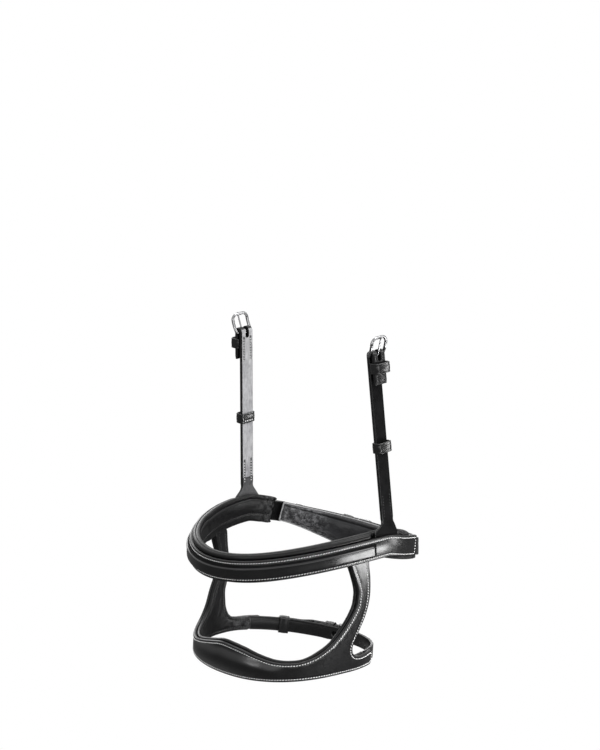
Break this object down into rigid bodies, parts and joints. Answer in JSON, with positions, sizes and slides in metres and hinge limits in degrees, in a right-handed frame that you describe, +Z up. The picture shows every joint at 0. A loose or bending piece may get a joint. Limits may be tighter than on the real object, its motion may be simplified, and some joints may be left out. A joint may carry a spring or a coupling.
{
  "type": "double noseband",
  "caption": "Padded band round the horse's nose and a lower band round the muzzle, joined by curved arms, with buckled jaw and chin straps and two buckled hanger straps.",
  "frame": {"origin": "midway between the heel bars of the two hanger buckles, where the headpiece straps hold the part", "axes": "+Z up, +X to the near (left) side of the horse, -Y towards the front of the nose"},
  "size_m": [0.1948, 0.2316, 0.3179],
  "materials": {
    "black_leather": "satin",
    "soft_lining": "matte",
    "padding_foam": "matte",
    "stainless_steel": "polished"
  },
  "bodies": {
    "noseband": {"nose_strap": "black_leather", "nose_panel": "black_leather", "nose_padding": "soft_lining", "lower_nosepiece": "black_leather", "lower_lining": "soft_lining", "nose_foam": "padding_foam", "near_ear": "black_leather", "off_ear": "black_leather", "jaw_buckle_strap": "black_leather", "jaw_billet": "black_leather", "jaw_pad": "soft_lining", "jaw_pad_backing": "black_leather", "jaw_fixed_keeper": "black_leather", "chin_buckle_strap": "black_leather", "chin_billet": "black_leather", "chin_fixed_keeper": "black_leather"},
    "near_hanger": {"near_hanger_strap": "black_leather", "near_hanger_fixed_keeper": "black_leather"},
    "near_hanger_keeper": {"near_hanger_sliding_keeper": "black_leather"},
    "near_hanger_buckle": {"near_hanger_buckle_frame": "stainless_steel"},
    "near_hanger_tongue": {"near_hanger_buckle_tongue": "stainless_steel"},
    "off_hanger": {"off_hanger_strap": "black_leather", "off_hanger_fixed_keeper": "black_leather"},
    "off_hanger_keeper": {"off_hanger_sliding_keeper": "black_leather"},
    "off_hanger_buckle": {"off_hanger_buckle_frame": "stainless_steel"},
    "off_hanger_tongue": {"off_hanger_buckle_tongue": "stainless_steel"},
    "jaw_keeper": {"jaw_sliding_keeper": "black_leather"},
    "jaw_buckle": {"jaw_buckle_frame": "stainless_steel"},
    "jaw_tongue": {"jaw_buckle_tongue": "stainless_steel"},
    "chin_keeper": {"chin_sliding_keeper": "black_leather"},
    "chin_buckle": {"chin_buckle_frame": "stainless_steel"},
    "chin_tongue": {"chin_buckle_tongue": "stainless_steel"}
  },
  "joints": [
    {"name": "near_hanger_fold", "type": "hinge", "parent": "noseband", "child": "near_hanger", "pos_m": [0.09085, 0.01028, -0.14713], "axis": [0.0005, 0.9981, 0.0611], "range_deg": [-25, 75], "stiffness_Nm_per_rad": 0.06},
    {"name": "near_hanger_keeper_slide", "type": "slide", "parent": "near_hanger", "child": "near_hanger_keeper", "axis": [-0.0643, -0.0609, 0.9961], "range_m": [-0.053, 0.045]},
    {"name": "near_hanger_buckle_hinge", "type": "hinge", "parent": "near_hanger", "child": "near_hanger_buckle", "pos_m": [0.08444, 0.00126, 0.0002], "axis": [0.0005, 0.9981, 0.0611], "range_deg": [-15, 45]},
    {"name": "near_hanger_tongue_hinge", "type": "hinge", "parent": "near_hanger_buckle", "child": "near_hanger_tongue", "pos_m": [0.08444, 0.00126, 0.0002], "axis": [0.0005, 0.9981, 0.0611], "range_deg": [0, 38]},
    {"name": "off_hanger_fold", "type": "hinge", "parent": "noseband", "child": "off_hanger", "pos_m": [-0.09085, 0.01028, -0.14713], "axis": [0.0005, -0.9981, -0.0611], "range_deg": [-25, 75], "stiffness_Nm_per_rad": 0.06},
    {"name": "off_hanger_keeper_slide", "type": "slide", "parent": "off_hanger", "child": "off_hanger_keeper", "axis": [0.0643, -0.0609, 0.9961], "range_m": [-0.053, 0.045]},
    {"name": "off_hanger_buckle_hinge", "type": "hinge", "parent": "off_hanger", "child": "off_hanger_buckle", "pos_m": [-0.08444, 0.00126, 0.0002], "axis": [0.0005, -0.9981, -0.0611], "range_deg": [-15, 45]},
    {"name": "off_hanger_tongue_hinge", "type": "hinge", "parent": "off_hanger_buckle", "child": "off_hanger_tongue", "pos_m": [-0.08444, 0.00126, 0.0002], "axis": [0.0005, -0.9981, -0.0611], "range_deg": [0, 38]},
    {"name": "jaw_keeper_slide", "type": "slide", "parent": "noseband", "child": "jaw_keeper", "axis": [-0.5492, -0.7883, 0.2773], "range_m": [-0.003, 0.003]},
    {"name": "jaw_buckle_hinge", "type": "hinge", "parent": "noseband", "child": "jaw_buckle", "pos_m": [-0.03518, 0.10156, -0.19935], "axis": [0.1012, 0.0309, 0.9944], "range_deg": [0, 3]},
    {"name": "jaw_tongue_hinge", "type": "hinge", "parent": "jaw_buckle", "child": "jaw_tongue", "pos_m": [-0.03518, 0.10156, -0.19935], "axis": [0.1012, 0.0309, 0.9944], "range_deg": [0, 4]},
    {"name": "chin_keeper_slide", "type": "slide", "parent": "noseband", "child": "chin_keeper", "axis": [-0.639, -0.7562, 0.141], "range_m": [-0.003, 0.003]},
    {"name": "chin_buckle_hinge", "type": "hinge", "parent": "noseband", "child": "chin_buckle", "pos_m": [-0.01425, 0.05694, -0.28962], "axis": [0.0102, 0.0746, 0.9972], "range_deg": [0, 3]},
    {"name": "chin_tongue_hinge", "type": "hinge", "parent": "chin_buckle", "child": "chin_tongue", "pos_m": [-0.01425, 0.05694, -0.28962], "axis": [0.0102, 0.0746, 0.9972], "range_deg": [0, 4]}
  ]
}
